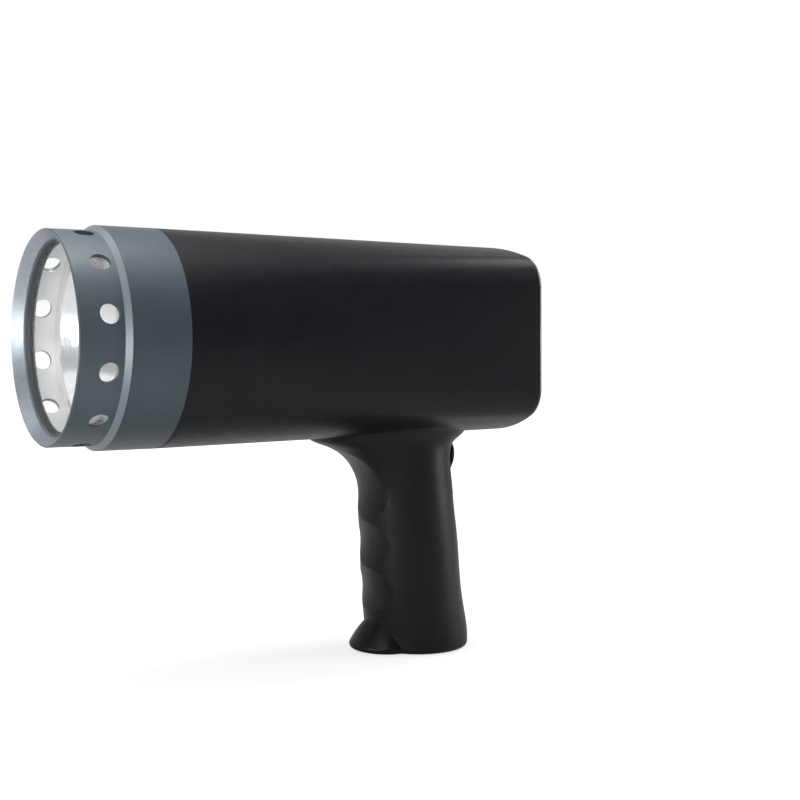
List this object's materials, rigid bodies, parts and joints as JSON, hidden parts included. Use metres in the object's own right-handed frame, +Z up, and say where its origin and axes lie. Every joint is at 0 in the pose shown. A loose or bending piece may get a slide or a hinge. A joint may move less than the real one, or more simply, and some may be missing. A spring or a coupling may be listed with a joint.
{
  "type": "xenon stroboscope",
  "caption": "Hand-held pistol-grip stroboscope: vented lamp ring, tapering housing, finger-grooved grip, rear panel with display, keys and knobs, and a rocker switch.",
  "frame": {"origin": "centre of the grip's flat base, on the joint of the two half shells", "axes": "+X from the lamp towards the control panel along the lamp axis, +Y to the operator's right, +Z up from the grip's base"},
  "size_m": [0.2299, 0.0932, 0.191],
  "materials": {
    "bezel": "slate blue-grey satin paint",
    "seal": "dark seal",
    "lens_glass": "clear flat glass",
    "ring_steel": "spring steel",
    "reflector": "metallised bowl",
    "inner_plastic": "moulded inner part",
    "socket_ceramic": "white ceramic",
    "tube_glass": "quartz glass",
    "electrode_metal": "bare metal",
    "black_plastic": "fine matt black moulding",
    "screw_steel": "plated steel",
    "panel_plastic": "moulded black panel",
    "overlay_film": "pale mint-grey printed film",
    "display_bezel": "dark grey rim",
    "window_clear": "clear pane",
    "display_cell": "yellow-green display",
    "pin_metal": "tinned pin",
    "board": "green board",
    "key_plastic": "off-white key",
    "pot_metal": "plated can",
    "shaft_metal": "turned shaft",
    "nut_brass": "plated brass",
    "knob_plastic": "translucent silver grey",
    "jack_plastic": "black moulding",
    "switch_plastic": "black moulding",
    "rocker_plastic": "black rocker",
    "capacitor_sleeve": "sleeved can",
    "ferrite": "ferrite",
    "winding": "enamelled copper",
    "coil_potting": "potted coil",
    "sink_aluminium": "bare aluminium",
    "cell_can": "sleeved cell"
  },
  "bodies": {
    "root": {"battery_cells": "cell_can", "battery_cradle": "inner_plastic", "charge_socket": "jack_plastic", "coarse_pot": "pot_metal", "control_board": "board", "control_board_screws": "screw_steel", "display_frame": "display_bezel", "display_module": "display_cell", "display_pins": "pin_metal", "display_window": "window_clear", "fine_pot": "pot_metal", "flash_tube": "tube_glass", "front_bezel": "bezel", "front_lens": "lens_glass", "heat_sink": "sink_aluminium", "housing_screws": "screw_steel", "inverter_core": "ferrite", "inverter_winding": "winding", "key_switches": "inner_plastic", "lamp_socket": "socket_ceramic", "left_housing": "black_plastic", "lens_gasket": "seal", "lens_retaining_ring": "ring_steel", "main_board": "board", "panel_overlay": "overlay_film", "pot_nuts": "nut_brass", "rear_panel": "panel_plastic", "reflector": "reflector", "reflector_carrier": "inner_plastic", "right_housing": "black_plastic", "storage_capacitors": "capacitor_sleeve", "switch_housing": "switch_plastic", "switch_terminals": "nut_brass", "trigger_coil": "coil_potting", "trigger_jack": "jack_plastic", "tube_electrodes": "electrode_metal"},
    "fine_knob": {"fine_knob": "knob_plastic", "fine_pot_shaft": "shaft_metal"},
    "coarse_knob": {"coarse_knob": "knob_plastic", "coarse_pot_shaft": "shaft_metal"},
    "key_double": {"key_double": "key_plastic"},
    "key_halve": {"key_halve": "key_plastic"},
    "key_trigger": {"key_trigger": "key_plastic"},
    "key_range": {"key_range": "key_plastic"},
    "switch_rocker": {"switch_rocker": "rocker_plastic"}
  },
  "joints": [
    {"name": "fine_knob_turn", "type": "hinge", "parent": "root", "child": "fine_knob", "pos_m": [0.03617, 0.00295, 0.12607], "axis": [0.9991, 0, 0.0419], "range_deg": [-101, 199]},
    {"name": "coarse_knob_turn", "type": "hinge", "parent": "root", "child": "coarse_knob", "pos_m": [0.03617, 0.0251, 0.12607], "axis": [0.9991, 0, 0.0419], "range_deg": [-277, 23]},
    {"name": "key_double_press", "type": "slide", "parent": "root", "child": "key_double", "axis": [-0.9991, 0, -0.0419], "range_m": [0, 0.0008], "stiffness_N_per_m": 1500},
    {"name": "key_halve_press", "type": "slide", "parent": "root", "child": "key_halve", "axis": [-0.9991, 0, -0.0419], "range_m": [0, 0.0008], "stiffness_N_per_m": 1500},
    {"name": "key_trigger_press", "type": "slide", "parent": "root", "child": "key_trigger", "axis": [-0.9991, 0, -0.0419], "range_m": [0, 0.0008], "stiffness_N_per_m": 1500},
    {"name": "key_range_press", "type": "slide", "parent": "root", "child": "key_range", "axis": [-0.9991, 0, -0.0419], "range_m": [0, 0.0008], "stiffness_N_per_m": 1500},
    {"name": "switch_rock", "type": "hinge", "parent": "root", "child": "switch_rocker", "pos_m": [0.0106, 0, 0.0884], "axis": [0, 1, 0], "range_deg": [-20, 0]}
  ]
}
